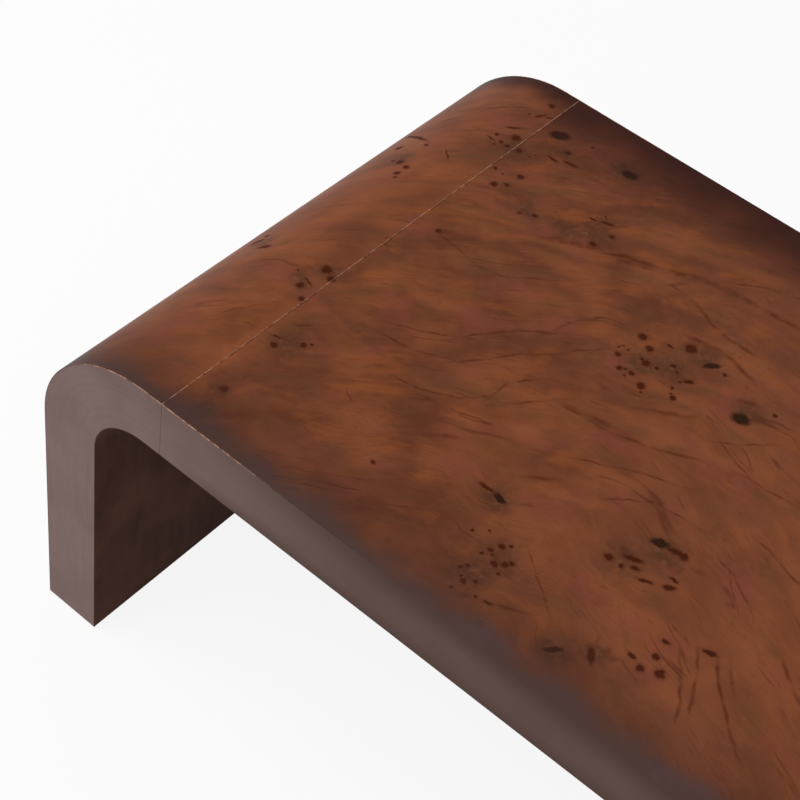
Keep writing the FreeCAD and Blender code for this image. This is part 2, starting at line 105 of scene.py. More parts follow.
KNOTS = (
    # from, to, half width
    (549, 133, 571, 138, 7.0), (622, 171, 638, 179, 6.0), (702, 366, 722, 366, 3.4),
    (731, 415, 750, 423, 7.2), (494, 493, 506, 504, 3.6), (543, 650, 564, 649, 2.6),
    (650, 540, 670, 546, 5.0),
)
SMUDGES = (
    # place and radius
    (512, 148, 24), (563, 153, 12), (403, 157, 17), (526, 212, 16), (566, 230, 16), (598, 236, 20),
    (640, 362, 19), (672, 368, 21), (705, 356, 18), (474, 572, 24), (500, 560, 25), (622, 560, 22),
    (664, 556, 26), (750, 411, 20), (626, 172, 18), (300, 283, 16), (328, 272, 15), (552, 653, 16),
    (260, 243, 15), (222, 389, 12), (592, 656, 13), (495, 497, 17), (205, 408, 16), (290, 342, 18),
)
STROKES = (
    # from, to, half width
    (609, 258, 660, 271, 2.2), (718, 395, 759, 405, 2.6), (560, 401, 622, 432, 3.0),
    (487, 603, 526, 614, 1.4), (528, 477, 560, 480, 2.4), (637, 408, 693, 417, 2.4),
    (412, 434, 463, 438, 2.4), (463, 430, 510, 440, 1.6), (304, 424, 312, 438, 1.4),
    (347, 390, 353, 400, 0.9),
)
GROWTH_LINES = (
    # half width, then the places that a line runs through
    (1.1, (437, 232), (475, 263), (505, 277), (545, 280)),
    (1.3, (405, 327), (460, 337), (505, 331), (550, 332), (575, 322), (605, 317)),
    (1.2, (375, 330), (415, 350), (460, 362), (505, 357), (590, 350)),
    (1.3, (396, 378), (420, 390), (460, 397), (490, 397), (510, 382), (535, 379)),
    (1.6, (500, 405), (555, 400), (610, 432), (650, 447), (695, 460)),
    (3.6, (542, 237), (600, 250), (660, 268), (700, 279), (740, 297), (800, 329)),
    (1.0, (735, 284), (767, 289), (785, 294), (801, 298)),
    (2.0, (697, 306), (712, 323), (728, 338), (757, 355)),
    (2.8, (688, 336), (707, 343), (724, 353), (736, 362), (750, 379)),
    (1.1, (722, 443), (750, 480), (796, 506)),
    (0.9, (722, 442), (765, 445)),
    (1.0, (572, 458), (632, 470), (680, 485)),
    (0.9, (612, 499), (656, 503), (690, 524)),
    (0.9, (529, 552), (540, 585), (548, 612)),
    (1.4, (680, 660), (681, 684), (680, 702), (675, 719)),
    (1.5, (697, 655), (696, 672), (692, 695), (688, 714)),
    (1.7, (716, 660), (718, 682), (722, 702), (728, 728), (738, 760)),
    (1.6, (729, 672), (733, 692)),
    (1.7, (783, 664), (790, 687), (801, 706)),
    (1.1, (758, 540), (772, 553), (787, 572), (801, 585)),
    (1.3, (718, 560), (733, 574), (741, 590), (752, 613)),
    (0.8, (728, 566), (732, 590), (738, 612)),
    (0.7, (632, 393), (642, 398), (652, 397)),
    (0.7, (215, 315), (235, 309), (255, 306)),
    (0.7, (385, 218), (420, 224)),
)
GLOWS = (
    # broad light areas: from, to, half width
    (522, 245, 588, 280, 8), (405, 285, 470, 318, 9), (632, 422, 682, 442, 8), (535, 488, 600, 505, 5),
    (595, 470, 640, 488, 8), (610, 610, 670, 630, 11), (735, 635, 775, 680, 13), (515, 425, 540, 445, 7),
    (445, 410, 475, 425, 7), (690, 440, 740, 470, 8), (700, 385, 740, 400, 6), (745, 270, 780, 285, 8),
    # The two areas on the crest of the left bend, from (400, 190) and (310, 230), are partly the wood's
    # tone and partly a painted sheen.
    (640, 690, 690, 705, 8), (190, 380, 265, 328, 5), (400, 190, 460, 165, 9), (310, 230, 380, 190, 12),
    (565, 285, 620, 300, 8),
)
SHADES = (
    # broad dark areas: from, to, half width
    (350, 275, 440, 228, 8), (465, 245, 500, 300, 12), (265, 350, 310, 335, 12), (230, 370, 320, 395, 14),
    (400, 365, 480, 395, 9), (300, 430, 350, 475, 12), (505, 500, 600, 525, 9), (535, 455, 575, 440, 7),
    (640, 310, 800, 350, 10), (550, 600, 600, 625, 12), (690, 500, 790, 535, 10), (715, 680, 735, 720, 7),
    (650, 215, 730, 235, 10), (480, 345, 560, 335, 9), (516, 208, 540, 218, 5), (245, 322, 300, 292, 6),
    (326, 300, 416, 384, 5),
)
# On the outer face of the left leg, which the photograph doesn't show: along the
# unrolled veneer, across it, radius, all in metres
LEG_EYES = (
    (-0.79, 0.13, 0.003), (-0.80, 0.15, 0.002), (-0.81, 0.12, 0.0025), (-0.78, 0.14, 0.0015),
    (-0.88, -0.16, 0.0035), (-0.87, -0.18, 0.002), (-0.895, -0.17, 0.0018), (-0.72, -0.08, 0.003),
    (-0.73, -0.06, 0.002), (-0.90, 0.21, 0.003), (-0.84, 0.01, 0.004), (-0.85, 0.03, 0.002),
)
LEG_SMUDGES = ((-0.795, 0.135, 0.03), (-0.88, -0.17, 0.028), (-0.725, -0.07, 0.02), (-0.845, 0.02, 0.022))
# Past this distance along the top the figure comes back mirrored and sheared,
# as a neighbouring leaf of the same log does.
LEAF_END = 0.13
LEAF_SHEAR = 0.35

# The grain of the leaf arches: where the crest of the arch is, how round it is, how steep
ARCH_CREST = -0.13
ARCH_ROUND = 0.2
ARCH_SLOPE = 0.9

# Colours as they look on screen, from nought to the full level
FULL_LEVEL = 255
BURL_DARK = (92, 49, 31)
BURL_LIGHT = (123, 70, 44)
BURL_GLOW = (142, 80, 50)
BURL_SHADE = (82, 48, 33)
BURL_ORANGE = (134, 74, 38)
BURL_OLIVE = (92, 60, 36)
BURL_ROSE = (124, 64, 51)
BURL_FIBRE = (78, 38, 22)
BURL_PALE_FIBRE = (148, 88, 60)
BURL_FLECK = (72, 34, 18)
BURL_LINE = (72, 32, 16)
PAST_SEAM = (138, 80, 52)
# Painted sheen on the bend, lighter towards the leg
TOWARDS_LEG_SHEEN = (142, 82, 55)
TOWARDS_MIDDLE = (138, 80, 54)
SMUDGE = (75, 46, 31)
SMUDGE_FLECK = (138, 90, 64)
STROKE = (74, 28, 7)
EYE_HALO = (78, 38, 24)
EYE = (63, 24, 6)
KNOT = (39, 20, 8)
TONER_FRONT = (62, 37, 30)
TONER_VEIL = (72, 58, 56)
TONER_VEIL_AT_ENDS = (62, 48, 46)
TONER_BLUE = (75, 63, 66)
TONER_BACK = (46, 20, 17)
# Pale worn edge, partly a painted highlight where the eased edges catch the light
WORN_EDGE_AND_HIGHLIGHT = (188, 146, 122)
SEAM_SHADOW = (46, 24, 16)
# Band at the ends, its own tone with a painted haze of reflection
BAND_TONE_AND_HAZE_AT_ENDS = (124, 102, 98)
BAND_MIDDLE = (92, 70, 63)
BAND_CLOUD = (104, 82, 77)
BAND_GRAIN = (82, 63, 60)
BAND_TONER = (71, 50, 45)
INNER_DARK = (70, 46, 39)
INNER_LIGHT = (84, 55, 46)
INNER_CLOUD = (97, 61, 49)
INNER_FIBRE = (62, 42, 36)
# Painted shade towards the back of the inner faces
INNER_SHADE = (50, 31, 27)

# How a mark fades: from and to, in its own radii, and how strong it is within
GLOW_FADE = (0.2, 1.8, 0.46)
SHADE_FADE = (0.2, 1.8, 0.42)
SMUDGE_FADE = (0.1, 1.4, 0.85)
STROKE_FADE = (0.1, 1.8, 0.6)
LINE_FADE = (0.1, 1.7, 0.68)
HALO_FADE = (0.9, 2.2, 0.45)
EYE_FADE = (0.7, 1.4, 0.95)
KNOT_FADE = (0.6, 1.3, 0.95)
# How grain is pushed aside round a smudge: from and to, in its radii, and how far, in metres
PARTING_FADE = (0.3, 2.6, 0.014)

# How a noise brings in a colour: from and to, in the noise's values, and how strongly at most
GROUND_RISE = (0.36, 0.64)
ORANGE_RISE = (0.52, 0.72, 0.58)
OLIVE_RISE = (0.48, 0.28, 0.55)
ROSE_RISE = (0.5, 0.7, 0.48)
FIBRE_RISE = (0.48, 0.7, 0.24)
PALE_FIBRE_RISE = (0.46, 0.26, 0.2)
FLECK_RISE = (0.58, 0.72, 0.32)
SMUDGE_FLECK_RISE = (0.55, 0.7, 0.28)
TONER_BLUE_RISE = (0.46, 0.66, 0.6)
BAND_CLOUD_RISE = (0.35, 0.7, 0.35)
BAND_GRAIN_RISE = (0.35, 0.8, 0.18)
INNER_GRAIN_RISE = (0.3, 0.75)
INNER_CLOUD_RISE = (0.42, 0.66, 0.6)
INNER_FIBRE_RISE = (0.35, 0.8, 0.3)
PLAIN_RISE = (0.3, 0.7)
BOARD_CLOUD_RISE = (0.3, 0.7, 0.25)
RAW_FIBRE_RISE = (0.3, 0.8, 0.3)
SCUFF_RISE = (0.5, 0.75)

# How a noise breaks up a figure: from and to, in the noise's values, and how much is left at each
FIBRE_GROUPS = (0.42, 0.62, 0.25, 1.0)
FLECK_GROUPS = (0.45, 0.6, 0.0, 1.0)
RING_GROUPS = (0.55, 0.4, 0.0, 1.0)
RING_BREAKS = (0.42, 0.58, 0.0, 0.6)
SMUDGE_MOTTLE = (0.36, 0.62, 0.5, 1.0)
LINE_BREAKS = (0.38, 0.6, 0.3, 1.0)
WEAR_AND_HIGHLIGHT_BREAKS = (0.38, 0.6, 0.1, 0.9)
SHADOW_BREAKS = (0.56, 0.4, 0.0, 1.0)

# How a colour comes in along the table: from and to, in metres from its middle, and how strongly at most
PAST_SEAM_RISE = (SEAM - 0.0002, SEAM + 0.0002, 0.14)
TOWARDS_LEG_SHEEN_RISE = (SEAM, SEAM + 0.06, 0.1)
TOWARDS_MIDDLE_RISE = (0.3, 0.0, 0.35)
VEIL_ENDS_RISE = (0.24, 0.42)
BAND_MIDDLE_RISE = (0.56, 0.18)

# Toner along the edges: from and to, in metres from the edge, and how strong it is there
TONER_FRONT_FADE = (0.01, 0.095, 0.52)
TONER_VEIL_FADE = (0.004, 0.032, 0.76)
# At the back it fades over its own width, which is less past the seam: from, to, and width at each.
TONER_BACK_FADE = (0.0, 1.0, 0.92)
TONER_BACK_WIDTHS = (SEAM - 0.001, SEAM + 0.001, 0.11, 0.045)
# How far the edge of the toner wanders
TONER_DRIFT = 0.04
# On the edge bands: down from the top, and how far along the table from its middle
OVER_FADE = (0.0, 0.03, 0.85)
OVER_REACH = (0.46, 0.14, 0.15, 1.0)
UNDER_RISE = (0.045, 0.065, 0.6)
UNDER_REACH = (SEAM, 0.36)
# On the inner veneer, painted shade from the front edge to the middle
INNER_SHADE_RISE = (-HALF_DEPTH, 0.0, 0.5)

# Worn edges, partly a painted highlight of the eased edges: from and to, in metres from the seam or edge
SEAM_WEAR_AND_HIGHLIGHT_FADE = (0.0001, 0.0006)
FRONT_WEAR_AND_HIGHLIGHT_FADE = (0.0003, 0.0011)
FRONT_WEAR_AND_HIGHLIGHT_REACH = (0.05, 0.14)
SHADOW_PLACE = SEAM - 0.001
SHADOW_FADE = (0.0001, 0.0007, 0.7)

# Noises run from nought to one about this middle, and roughness follows them over this span.
NOISE_MIDDLE = 0.5
ROUGHNESS_SPAN = (0.2, 0.8)
# Other stretches of the noise, for the rose patches and for the groups of fibres and flecks
ROSE_STRETCH = (4.0, 9.0, 0)
GROUP_STRETCH = (7.0, 2.0, 0)
# How much of the ground is streaks along the grain, and how much is cloudy patches
STREAK_SHARE = 0.45
PATCH_SHARE = 0.55
# How many growth rings run through the values of a noise, and how wide their lines are in a ring
RINGS_IN_NOISE = 11.0
RING_WIDTH = 0.09
# How much rougher the dark marks are
MARK_ROUGHNESS = 0.15

# How much longer each step of a growth line is drawn, so that the steps run together
LINE_OVERLAP = 1.4
# Start value of a distance to marks, and how many marks are worked out at once
FAR_OFF = 100.0
MARKS_AT_ONCE = 8
MM_PER_METRE = 1000

# The floor is white paper. How much of its white is its own, and how strongly the sky lights the table
FLOOR_SIZE = 20
FLOOR_PAPER = (0.88, 0.88, 0.88, 1)
FLOOR_ROUGHNESS = 0.9
FLOOR_WHITE = 0.88
SKY_WHITE = (1, 1, 1, 1)
SKY_LIGHT = 0.62
# The floor lies just under the glides, so that the two faces don't flicker.
FLOOR_DROP = 0.0003

# Width of the camera's sensor in millimetres, and how far it sees in metres
SENSOR_WIDTH = 36
SIGHT = 50


def camera_axes():
    """Right, up and forward of the photograph's camera."""
    azimuth, elevation, roll = (math.radians(angle) for angle in (AZIMUTH, ELEVATION, ROLL))
    forward = Vector((-math.sin(azimuth) * math.cos(elevation),
                      math.cos(azimuth) * math.cos(elevation),
                      -math.sin(elevation)))
    level = Vector((math.cos(azimuth), math.sin(azimuth), 0))
    upright = level.cross(forward)
    right = level * math.cos(roll) + upright * math.sin(roll)
    up = upright * math.cos(roll) - level * math.sin(roll)
    return right, up, forward


def on_veneer(across, down):
    """Where a pixel of the photograph falls on the unrolled veneer, in metres."""
    right, up, forward = camera_axes()
    middle = PHOTO_PIXELS / 2
    ray = forward * FOCAL_PIXELS + right * (across - middle) + up * (middle - down)
    hit = CAMERA_PLACE + ray * ((TOP - CAMERA_PLACE.z) / ray.z)
    if hit.x > -BEND_X:
        return hit.x, hit.y
    # The ray meets the left bend, a quarter of a cylinder along Y, where a quadratic equation says.
    start_x = CAMERA_PLACE.x + BEND_X
    start_z = CAMERA_PLACE.z - BEND_Z
    squared = ray.x ** 2 + ray.z ** 2
    mixed = start_x * ray.x + start_z * ray.z
    constant = start_x ** 2 + start_z ** 2 - OUTER_RADIUS ** 2
    reach = (-mixed - math.sqrt(max(mixed * mixed - squared * constant, 0))) / squared
    hit = CAMERA_PLACE + ray * reach
    angle = math.atan2(-BEND_X - hit.x, hit.z - BEND_Z)
    return -BEND_X - OUTER_RADIUS * angle, hit.y


def round_marks(places):
    """Eyes or smudges as ellipses: place, radii and turn."""
    marks = []
    for across, down, radius in places:
        u, y = on_veneer(across, down)
        marks.append((u, y, radius / MM_PER_METRE, radius / MM_PER_METRE, 0))
    return marks


def leg_marks(places):
    """Eyes or smudges of the leg as ellipses."""
    return [(u, y, radius, radius, 0) for u, y, radius in places]


def long_mark(across_a, down_a, across_b, down_b, half_width):
    """An ellipse from one place to another."""
    start = Vector(on_veneer(across_a, down_a))
    end = Vector(on_veneer(across_b, down_b))
    middle = (start + end) / 2
    along = end - start
    turn = math.atan2(along.y, along.x)
    return middle.x, middle.y, along.length / 2, half_width / MM_PER_METRE, turn


def long_marks(places):
    """Dashes, knots, strokes or broad areas as ellipses."""
    return [long_mark(*place) for place in places]


def growth_marks(lines):
    """Growth lines as ellipses from place to place, which overlap at their ends."""
    marks = []
    for half_width, *places in lines:
        for start, end in zip(places, places[1:]):
            u, y, half_length, width, turn = long_mark(*start, *end, half_width)
            marks.append((u, y, half_length * LINE_OVERLAP, width, turn))
    return marks


def paint(colour):
    """A colour given as it looks on screen, in Blender's linear values."""
    on_screen = Color([level / FULL_LEVEL for level in colour])
    return (*on_screen.from_srgb_to_scene_linear(), 1.0)


class Graph:
    """The nodes of a material or world, with a short call for each kind used here."""

    def __init__(self, owner):
        owner.use_nodes = True
        self.owner = owner
        self.nodes = owner.node_tree.nodes
        self.links = owner.node_tree.links

    def add(self, kind, **settings):
        node = self.nodes.new(f"ShaderNode{kind}")
        for key, value in settings.items():
            setattr(node, key, value)
        return node

    def feed(self, socket, value):
        """Set a socket to a number or colour, or link it to another socket."""
        if isinstance(value, bpy.types.NodeSocket):
            self.links.new(value, socket)
        else:
            socket.default_value = value

    def place(self):
        """Place on the table, in metres."""
        return self.add("TexCoord").outputs["Object"]

    def math(self, operation, first, second=0.0, clamp=False):
        node = self.add("Math", operation=operation, use_clamp=clamp)
        self.feed(node.inputs[0], first)
        self.feed(node.inputs[1], second)
        return node.outputs[0]

    def plus(self, first, second):
        return self.math("ADD", first, second)

    def minus(self, first, second):
        return self.math("SUBTRACT", first, second)

    def times(self, first, second):
        return self.math("MULTIPLY", first, second)

    def vector(self, operation, *values):
        node = self.add("VectorMath", operation=operation)
        for socket, value in zip(node.inputs, values):
            self.feed(socket, value)
        number = operation in ("LENGTH", "DISTANCE", "DOT_PRODUCT")
        return node.outputs["Value" if number else "Vector"]

    def stretched(self, place, along, across, upward=1):
        """A place scaled for a noise that is finer one way than another."""
        return self.vector("MULTIPLY", place, (along, across, upward))

    def join(self, x=0.0, y=0.0, z=0.0):
        node = self.add("CombineXYZ")
        for socket, value in zip(node.inputs, (x, y, z)):
            self.feed(socket, value)
        return node.outputs[0]

    def split(self, vector):
        node = self.add("SeparateXYZ")
        self.feed(node.inputs[0], vector)
        return node.outputs

    def noise(self, place, scale=1.0, detail=2.0, roughness=0.5):
        """A noise about its middle."""
        return self.noise_node(place, scale, detail, roughness).outputs[0]

    def noise_node(self, place, scale, detail, roughness=0.5):
        node = self.add("TexNoise")
        self.feed(node.inputs["Vector"], place)
        for socket, value in (("Scale", scale), ("Detail", detail), ("Roughness", roughness)):
            self.feed(node.inputs[socket], value)
        return node

    def shift(self, place, scale, reach, detail=1.0):
        """Move a place about by a noise of that scale, by up to about reach."""
        colours = self.noise_node(place, scale, detail).outputs[1]
        wander = self.vector("SUBTRACT", colours, (NOISE_MIDDLE, NOISE_MIDDLE, NOISE_MIDDLE))
        return self.vector("MULTIPLY_ADD", wander, (2 * reach, 2 * reach, 0), place)

    def ramp(self, value, low, high, start=0.0, end=1.0):
        """Smooth step of a value from start at low to end at high."""
        node = self.add("MapRange", interpolation_type="SMOOTHSTEP")
        for socket, number in zip(node.inputs, (value, low, high, start, end)):
            self.feed(socket, number)
        return node.outputs[0]

    def rise(self, value, low, high, most=1.0):
        """Smooth step of a value from nought at low to most at high."""
        return self.ramp(value, low, high, 0.0, most)

    def fade(self, value, low, high, most=1.0):
        """Smooth step of a value from most at low to nought at high."""
        return self.ramp(value, low, high, most, 0.0)

    def roughness(self, noise, where_low, where_high):
        """A roughness that follows a noise."""
        return self.ramp(noise, *ROUGHNESS_SPAN, where_low, where_high)

    def mix(self, factor, first, second):
        node = self.add("Mix", data_type="RGBA")
        first_colour, second_colour = node.inputs[6], node.inputs[7]
        self.feed(node.inputs["Factor"], factor)
        self.feed(first_colour, first)
        self.feed(second_colour, second)
        return node.outputs[2]

    def blend(self, factor, first, second):
        """A mix of two colours, which are given as they look on screen."""
        return self.mix(factor, paint(first), paint(second))

    def tint(self, colour, amount, shade):
        """A colour moved towards a shade, which is given as it looks on screen."""
        return self.mix(amount, colour, paint(shade))

    def nearest(self, place, marks):
        """Distance from the nearest of some ellipses, in their own radii.

        The least distance so far rides along as the place's height, which no mark
        counts, so that only a few marks are worked out at once.
        """
        u, y, _ = self.split(place)
        least = FAR_OFF
        for number, (mark_u, mark_y, long, short, turn) in enumerate(marks):
            if number % MARKS_AT_ONCE == 0:
                here = self.join(u, y, least)
            if long == short:
                centre = (-mark_u / long, -mark_y / long, 0)
                local = self.vector("MULTIPLY_ADD", here, (1 / long, 1 / long, 0), centre)
                off = self.vector("LENGTH", local)
            else:
                along = Vector((math.cos(turn), math.sin(turn), 0)) / long
                across = Vector((-math.sin(turn), math.cos(turn), 0)) / short
                centre = Vector((mark_u, mark_y, 0))
                local = self.join(self.vector("DOT_PRODUCT", here, along),
                                  self.vector("DOT_PRODUCT", here, across))
                off = self.vector("DISTANCE", local, (centre.dot(along), centre.dot(across), 0))
            least = self.math("MINIMUM", least, off)
        return least

    def bump(self, height, strength, distance):
        node = self.add("Bump")
        node.inputs["Strength"].default_value = strength
        node.inputs["Distance"].default_value = distance
        self.feed(node.inputs["Height"], height)
        self.feed(self.nodes["Principled BSDF"].inputs["Normal"], node.outputs[0])

    def finish(self, colour, roughness):
        shader = self.nodes["Principled BSDF"]
        self.feed(shader.inputs["Base Color"], colour)
        self.feed(shader.inputs["Roughness"], roughness)
        return self.owner


def surface(name, metallic=0.0, specular=0.5):
    """The nodes of a new material."""
    graph = Graph(bpy.data.materials.new(name))
    shader = graph.nodes["Principled BSDF"]
    shader.inputs["Metallic"].default_value = metallic
    shader.inputs["Specular IOR Level"].default_value = specular
    return graph


def unrolled(graph):
    """Place on the outer veneer as a flat sheet: along the table, and across it."""
    x, y, z = graph.split(graph.place())
    reach = graph.math("ABSOLUTE", x)
    angle = graph.math("ARCTAN2", graph.minus(reach, BEND_X), graph.minus(z, BEND_Z))
    angle = graph.math("MINIMUM", graph.math("MAXIMUM", angle, 0.0), math.pi / 2)
    flat = graph.math("MINIMUM", reach, BEND_X)
    bent = graph.times(angle, OUTER_RADIUS)
    down = graph.math("MAXIMUM", graph.minus(BEND_Z, z), 0.0)
    along = graph.plus(graph.plus(flat, bent), down)
    return graph.times(along, graph.math("SIGN", x)), y


def on_leaf(graph, u, y):
    """Place on the leaf of veneer, or on its mirrored neighbour past the leaf's end."""
    over = graph.math("MAXIMUM", graph.minus(u, LEAF_END), 0.0)
    mirrored = graph.minus(u, graph.times(over, 2.0))
    return graph.join(mirrored, graph.plus(y, graph.times(over, LEAF_SHEAR)))


def grain_flow(graph, leaf, smudge):
    """The leaf laid straight along its grain, which arches, parts round smudges and wanders."""
    u, y, _ = graph.split(leaf)
    off_crest = graph.minus(u, ARCH_CREST)
    span = graph.math("SQRT", graph.plus(graph.times(off_crest, off_crest), ARCH_ROUND ** 2))
    across = graph.plus(y, graph.times(span, ARCH_SLOPE))
    across = graph.plus(across, graph.fade(smudge, *PARTING_FADE))
    swirl = graph.shift(graph.join(u, across), scale=4.0, reach=0.045, detail=2)
    return graph.shift(swirl, scale=13.0, reach=0.018, detail=3)


def burl_ground(graph, flow, cloudy, off_middle):
    """Colour of the wood under its figure, in broad light and dark areas."""
    streaks = graph.noise(graph.stretched(flow, along=6, across=24), detail=4, roughness=0.6)
    patches = graph.noise(cloudy, scale=16, detail=3, roughness=0.55)
    light = graph.plus(graph.times(streaks, STREAK_SHARE), graph.times(patches, PATCH_SHARE))
    colour = graph.blend(graph.rise(light, *GROUND_RISE), BURL_DARK, BURL_LIGHT)
    glow = graph.nearest(cloudy, long_marks(GLOWS))
    colour = graph.tint(colour, graph.fade(glow, *GLOW_FADE), BURL_GLOW)
    shade = graph.nearest(cloudy, long_marks(SHADES))
    colour = graph.tint(colour, graph.fade(shade, *SHADE_FADE), BURL_SHADE)
    # The ends are a little lighter than the top, the bend lighter still towards the leg as a painted
    # sheen, and the top lighter towards its middle.
    colour = graph.tint(colour, graph.rise(off_middle, *PAST_SEAM_RISE), PAST_SEAM)
    colour = graph.tint(colour, graph.rise(off_middle, *TOWARDS_LEG_SHEEN_RISE), TOWARDS_LEG_SHEEN)
    return graph.tint(colour, graph.rise(off_middle, *TOWARDS_MIDDLE_RISE), TOWARDS_MIDDLE)


def burl_figure(graph, leaf, flow, colour):
    """Hue, fibres, flecks and fine lines of the wood between the marks."""
    # The hue wanders between orange, olive and rose.
    hue = graph.noise(graph.stretched(flow, along=24, across=40), detail=3, roughness=0.55)
    colour = graph.tint(colour, graph.rise(hue, *ORANGE_RISE), BURL_ORANGE)
    colour = graph.tint(colour, graph.rise(hue, *OLIVE_RISE), BURL_OLIVE)
    rose = graph.noise(graph.vector("ADD", leaf, ROSE_STRETCH), scale=22, detail=3)
    colour = graph.tint(colour, graph.rise(rose, *ROSE_RISE), BURL_ROSE)

    # Dark and pale fibres and short dark flecks, in groups
    groups = graph.noise(graph.vector("ADD", leaf, GROUP_STRETCH), scale=13, detail=3)
    grouped = graph.ramp(groups, *FIBRE_GROUPS)
    fibres = graph.noise(graph.stretched(flow, along=60, across=520), detail=3, roughness=0.65)
    dark = graph.times(graph.rise(fibres, *FIBRE_RISE), grouped)
    colour = graph.tint(colour, dark, BURL_FIBRE)
    pale = graph.times(graph.rise(fibres, *PALE_FIBRE_RISE), grouped)
    colour = graph.tint(colour, pale, BURL_PALE_FIBRE)
    flecks = graph.noise(graph.stretched(flow, along=95, across=420))
    fleck = graph.times(graph.rise(flecks, *FLECK_RISE), graph.ramp(groups, *FLECK_GROUPS))
    colour = graph.tint(colour, fleck, BURL_FLECK)

    # Thin lines of growth rings between the groups
    rings = graph.noise(graph.stretched(flow, along=2.2, across=15), detail=3)
    rings = graph.math("FRACT", graph.times(rings, RINGS_IN_NOISE))
    off_line = graph.math("ABSOLUTE", graph.minus(rings, NOISE_MIDDLE))
    line = graph.fade(off_line, 0.0, RING_WIDTH)
    broken = graph.ramp(graph.noise(leaf, scale=28, detail=3, roughness=0.6), *RING_BREAKS)
    there = graph.times(broken, graph.ramp(groups, *RING_GROUPS))
    return graph.tint(colour, graph.times(line, there), BURL_LINE)


def burl_marks(graph, leaf, smudge, colour):
    """Colour with smudges, growth lines that stand out, eyes and knots, and where the darkest are."""
    wavy = graph.shift(leaf, scale=30, reach=0.004, detail=2)
    wavy = graph.shift(wavy, scale=140, reach=0.001)
    ragged = graph.shift(leaf, scale=190, reach=0.0018)
    ragged = graph.shift(ragged, scale=600, reach=0.0009)
    strokes = graph.nearest(wavy, long_marks(STROKES))
    lines = graph.nearest(wavy, growth_marks(GROWTH_LINES))
    eyes = graph.nearest(ragged, round_marks(EYES) + long_marks(DASHES) + leg_marks(LEG_EYES))
    knots = graph.nearest(ragged, long_marks(KNOTS))

    in_smudge = graph.fade(smudge, *SMUDGE_FADE)
    mottle = graph.ramp(graph.noise(leaf, scale=120, detail=4, roughness=0.7), *SMUDGE_MOTTLE)
    colour = graph.tint(colour, graph.times(in_smudge, mottle), SMUDGE)
    pale = graph.rise(graph.noise(leaf, scale=140), *SMUDGE_FLECK_RISE)
    colour = graph.tint(colour, graph.times(in_smudge, pale), SMUDGE_FLECK)
    broken = graph.ramp(graph.noise(leaf, scale=60, detail=3, roughness=0.6), *LINE_BREAKS)
    drawn = graph.math("MAXIMUM", graph.fade(strokes, *STROKE_FADE), graph.fade(lines, *LINE_FADE))
    colour = graph.tint(colour, graph.times(drawn, broken), STROKE)
    colour = graph.tint(colour, graph.fade(eyes, *HALO_FADE), EYE_HALO)
    dark_eye = graph.fade(eyes, *EYE_FADE)
    colour = graph.tint(colour, dark_eye, EYE)
    dark_knot = graph.fade(knots, *KNOT_FADE)
    colour = graph.tint(colour, dark_knot, KNOT)
    return colour, graph.math("MAXIMUM", dark_eye, dark_knot)


def toner(graph, leaf, off_middle, y, colour):
    """Shades sprayed along the edges: a mauve veil at the front, a dark shade at the back."""
    drift = graph.minus(graph.noise(leaf, scale=22, detail=3), NOISE_MIDDLE)
    drift = graph.times(drift, TONER_DRIFT)
    front = graph.plus(graph.plus(y, HALF_DEPTH), drift)
    back = graph.plus(graph.minus(HALF_DEPTH, y), drift)
    back_width = graph.ramp(off_middle, *TONER_BACK_WIDTHS)
    colour = graph.tint(colour, graph.fade(front, *TONER_FRONT_FADE), TONER_FRONT)
    blue = graph.rise(graph.noise(leaf, scale=26, detail=3, roughness=0.6), *TONER_BLUE_RISE)
    veil = graph.blend(blue, TONER_VEIL, TONER_BLUE)
    veil = graph.tint(veil, graph.rise(off_middle, *VEIL_ENDS_RISE), TONER_VEIL_AT_ENDS)
    colour = graph.mix(graph.fade(front, *TONER_VEIL_FADE), colour, veil)
    in_widths = graph.math("DIVIDE", back, back_width)
    return graph.tint(colour, graph.fade(in_widths, *TONER_BACK_FADE), TONER_BACK)


def worn_and_highlit_edges(graph, leaf, off_middle, y, colour):
    """A broken pale line along the seams, a dark painted shadow line beside it, and a pale front edge
    near them; the pale lines are wear and partly a painted highlight.
    """
    off_seam = graph.math("ABSOLUTE", graph.minus(off_middle, SEAM))
    off_edge = graph.minus(HALF_DEPTH, graph.math("ABSOLUTE", y))
    patches = graph.noise(leaf, scale=90, detail=4, roughness=0.75)
    beside = graph.math("ABSOLUTE", graph.minus(off_middle, SHADOW_PLACE))
    shadow = graph.times(graph.fade(beside, *SHADOW_FADE), graph.ramp(patches, *SHADOW_BREAKS))
    colour = graph.tint(colour, shadow, SEAM_SHADOW)
    patchy = graph.ramp(patches, *WEAR_AND_HIGHLIGHT_BREAKS)
    at_seam = graph.fade(off_seam, *SEAM_WEAR_AND_HIGHLIGHT_FADE)
    at_edge = graph.times(graph.fade(off_edge, *FRONT_WEAR_AND_HIGHLIGHT_FADE), graph.fade(off_seam, *FRONT_WEAR_AND_HIGHLIGHT_REACH))
    # The pale line is wear and partly a painted highlight of the eased edge.
    worn_and_highlit = graph.math("MAXIMUM", at_seam, at_edge)
    return graph.tint(colour, graph.times(worn_and_highlit, patchy), WORN_EDGE_AND_HIGHLIGHT)


